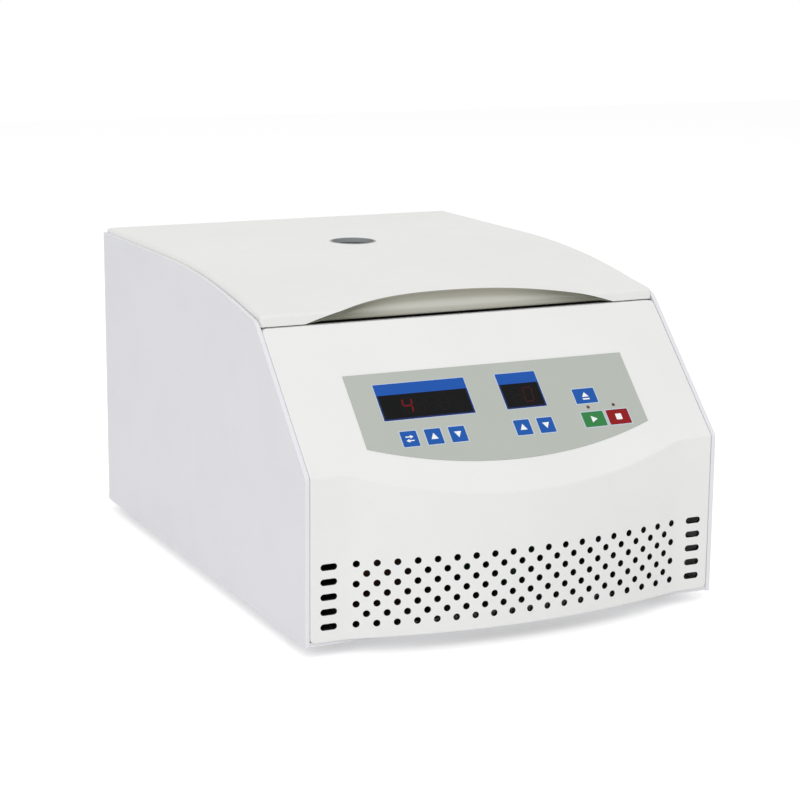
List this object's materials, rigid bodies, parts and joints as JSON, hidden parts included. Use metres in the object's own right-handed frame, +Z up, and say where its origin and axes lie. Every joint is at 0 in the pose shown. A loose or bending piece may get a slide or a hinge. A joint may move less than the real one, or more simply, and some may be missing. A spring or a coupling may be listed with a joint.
{
  "type": "microplate centrifuge",
  "caption": "Bench-top plate centrifuge: hinged lid with finger scoop and round port, sloped keypad console, vented bowed front, swing-out carriers in a steel chamber.",
  "frame": {"origin": "on the floor under the middle of the whole machine's outline", "axes": "+Z up, the keypad and vented front face -Y, +X to the right of someone facing the front"},
  "size_m": [0.4, 0.5598, 0.2983],
  "materials": {
    "cabinet_paint": "smooth satin off-white powder coat",
    "front_moulding": "smooth semi-gloss white moulding",
    "lid_moulding": "smooth semi-gloss white moulding",
    "overlay_film": "fine-grained grey-green polyester film",
    "window_filter": "dark tinted display filter",
    "key_blue": "blue film over a domed key",
    "key_green": "green film over a domed key",
    "key_red": "red film over a domed key",
    "lamp_lens": "diffusing lens",
    "circuit_board": "green solder mask",
    "base_zinc": "zinc-plated sheet",
    "foot_rubber": "black moulded rubber",
    "deck_paint": "light grey powder coat",
    "bowl_steel": "deep-drawn stainless, fine circular brushing",
    "guard_steel": "bare rolled steel ring",
    "seal_rubber": "black sponge rubber",
    "motor_alloy": "cast alloy",
    "bearing_steel": "ground steel",
    "rotor_alloy": "machined, clear anodised",
    "carrier_steel": "pressed stainless sheet",
    "liner_plastic": "vacuum-formed light grey liner",
    "port_trim": "grey plastic ring",
    "port_glass": "clear round window",
    "strut_black": "black coated tube",
    "coil_wrap": "varnished winding",
    "black_plastic": "black moulded plastic",
    "rocker_plastic": "polished black"
  },
  "bodies": {
    "cabinet": {"base_plate": "base_zinc", "cabinet_shell": "cabinet_paint", "case_screws": "bearing_steel", "chamber_bowl": "bowl_steel", "chamber_deck": "deck_paint", "chamber_gasket": "seal_rubber", "control_board": "circuit_board", "display_board": "circuit_board", "display_windows": "window_filter", "fan_frame": "black_plastic", "feet": "foot_rubber", "front_panel": "front_moulding", "guard_ring": "guard_steel", "hinge_brackets": "base_zinc", "hinge_pins": "bearing_steel", "indicator_lenses": "lamp_lens", "keypad_overlay": "overlay_film", "latch_coil": "coil_wrap", "latch_frame": "base_zinc", "lid_front_seal": "seal_rubber", "motor_bearings": "bearing_steel", "motor_dampers": "foot_rubber", "motor_housing": "motor_alloy", "motor_plate": "motor_alloy", "power_inlet": "black_plastic", "rear_panel": "deck_paint", "shaft_boot": "foot_rubber", "strut_mounts": "base_zinc", "switch_housing": "black_plastic", "transformer": "coil_wrap"},
    "lid": {"lid_shell": "lid_moulding", "lid_liner": "liner_plastic", "port_ring": "port_trim", "port_window": "port_glass", "lid_striker": "bearing_steel", "lid_hinge_leaves": "base_zinc", "lid_strut_tabs": "base_zinc", "lid_screws": "bearing_steel"},
    "rotor": {"motor_shaft": "bearing_steel", "rotor_yoke": "rotor_alloy", "trunnion_pins": "bearing_steel", "rotor_nut": "bearing_steel"},
    "carrier_left": {"plate_carrier_left": "carrier_steel"},
    "carrier_right": {"plate_carrier_right": "carrier_steel"},
    "latch_hook_body": {"latch_hook": "bearing_steel"},
    "latch_plunger_body": {"latch_plunger": "bearing_steel"},
    "rocker": {"switch_rocker": "rocker_plastic"},
    "fan": {"fan_rotor": "black_plastic"},
    "cylinder_left": {"strut_cylinder_left": "strut_black"},
    "cylinder_right": {"strut_cylinder_right": "strut_black"},
    "rod_left": {"strut_rod_left": "bearing_steel"},
    "rod_right": {"strut_rod_right": "bearing_steel"},
    "key_mode_cap": {"key_mode": "key_blue"},
    "key_open_cap": {"key_open": "key_blue"},
    "key_speed_down_cap": {"key_speed_down": "key_blue"},
    "key_speed_up_cap": {"key_speed_up": "key_blue"},
    "key_start_cap": {"key_start": "key_green"},
    "key_stop_cap": {"key_stop": "key_red"},
    "key_time_down_cap": {"key_time_down": "key_blue"},
    "key_time_up_cap": {"key_time_up": "key_blue"}
  },
  "joints": [
    {"name": "lid_hinge", "type": "hinge", "parent": "cabinet", "child": "lid", "pos_m": [0, 0.2759, 0.2677], "axis": [-1, 0, 0], "range_deg": [0, 75]},
    {"name": "rotor_spin", "type": "hinge", "parent": "cabinet", "child": "rotor", "pos_m": [0, 0.0927, 0.203], "axis": [0, 0, 1], "continuous": true},
    {"name": "carrier_left_swing", "type": "hinge", "parent": "rotor", "child": "carrier_left", "pos_m": [-0.072, 0.0927, 0.203], "axis": [0, 1, 0], "range_deg": [0, 90]},
    {"name": "carrier_right_swing", "type": "hinge", "parent": "rotor", "child": "carrier_right", "pos_m": [0.072, 0.0927, 0.203], "axis": [0, -1, 0], "range_deg": [0, 90]},
    {"name": "latch_turn", "type": "hinge", "parent": "cabinet", "child": "latch_hook_body", "pos_m": [0, -0.112, 0.205], "axis": [1, 0, 0], "range_deg": [0, 15]},
    {"name": "latch_plunger_slide", "type": "slide", "parent": "cabinet", "child": "latch_plunger_body", "axis": [0, 1, 0], "range_m": [0, 0.00519]},
    {"name": "rocker_tilt", "type": "hinge", "parent": "cabinet", "child": "rocker", "pos_m": [-0.03, 0.2734, 0.102], "axis": [-1, 0, 0], "range_deg": [0, 24]},
    {"name": "fan_spin", "type": "hinge", "parent": "cabinet", "child": "fan", "pos_m": [0.092, 0.2614, 0.102], "axis": [0, 1, 0], "continuous": true},
    {"name": "cylinder_left_tilt", "type": "hinge", "parent": "cabinet", "child": "cylinder_left", "pos_m": [-0.181, 0.0999, 0.259], "axis": [1, 0, 0], "range_deg": [0, 5.94]},
    {"name": "rod_left_slide", "type": "slide", "parent": "cylinder_left", "child": "rod_left", "axis": [0, 0.9867, 0.1623], "range_m": [0, 0.04642]},
    {"name": "cylinder_right_tilt", "type": "hinge", "parent": "cabinet", "child": "cylinder_right", "pos_m": [0.181, 0.0999, 0.259], "axis": [1, 0, 0], "range_deg": [0, 5.94]},
    {"name": "rod_right_slide", "type": "slide", "parent": "cylinder_right", "child": "rod_right", "axis": [0, 0.9867, 0.1623], "range_m": [0, 0.04642]},
    {"name": "key_mode_press", "type": "slide", "parent": "cabinet", "child": "key_mode_cap", "axis": [0, 0.7136, -0.7005], "range_m": [0, 0.0004], "stiffness_N_per_m": 800, "springref_m": -0.0005},
    {"name": "key_open_press", "type": "slide", "parent": "cabinet", "child": "key_open_cap", "axis": [0, 0.7136, -0.7005], "range_m": [0, 0.0004], "stiffness_N_per_m": 800, "springref_m": -0.0005},
    {"name": "key_speed_down_press", "type": "slide", "parent": "cabinet", "child": "key_speed_down_cap", "axis": [0, 0.7136, -0.7005], "range_m": [0, 0.0004], "stiffness_N_per_m": 800, "springref_m": -0.0005},
    {"name": "key_speed_up_press", "type": "slide", "parent": "cabinet", "child": "key_speed_up_cap", "axis": [0, 0.7136, -0.7005], "range_m": [0, 0.0004], "stiffness_N_per_m": 800, "springref_m": -0.0005},
    {"name": "key_start_press", "type": "slide", "parent": "cabinet", "child": "key_start_cap", "axis": [0, 0.7136, -0.7005], "range_m": [0, 0.0004], "stiffness_N_per_m": 800, "springref_m": -0.0005},
    {"name": "key_stop_press", "type": "slide", "parent": "cabinet", "child": "key_stop_cap", "axis": [0, 0.7136, -0.7005], "range_m": [0, 0.0004], "stiffness_N_per_m": 800, "springref_m": -0.0005},
    {"name": "key_time_down_press", "type": "slide", "parent": "cabinet", "child": "key_time_down_cap", "axis": [0, 0.7136, -0.7005], "range_m": [0, 0.0004], "stiffness_N_per_m": 800, "springref_m": -0.0005},
    {"name": "key_time_up_press", "type": "slide", "parent": "cabinet", "child": "key_time_up_cap", "axis": [0, 0.7136, -0.7005], "range_m": [0, 0.0004], "stiffness_N_per_m": 800, "springref_m": -0.0005}
  ],
  "couplings": [
    {"joint": "latch_plunger_slide", "follows": "latch_turn", "m_per_rad": 0.019772},
    {"joint": "cylinder_left_tilt", "follows": "lid_hinge", "ratio": 0.078944},
    {"joint": "rod_left_slide", "follows": "lid_hinge", "m_per_rad": 0.035449},
    {"joint": "cylinder_right_tilt", "follows": "lid_hinge", "ratio": 0.078944},
    {"joint": "rod_right_slide", "follows": "lid_hinge", "m_per_rad": 0.035449}
  ]
}
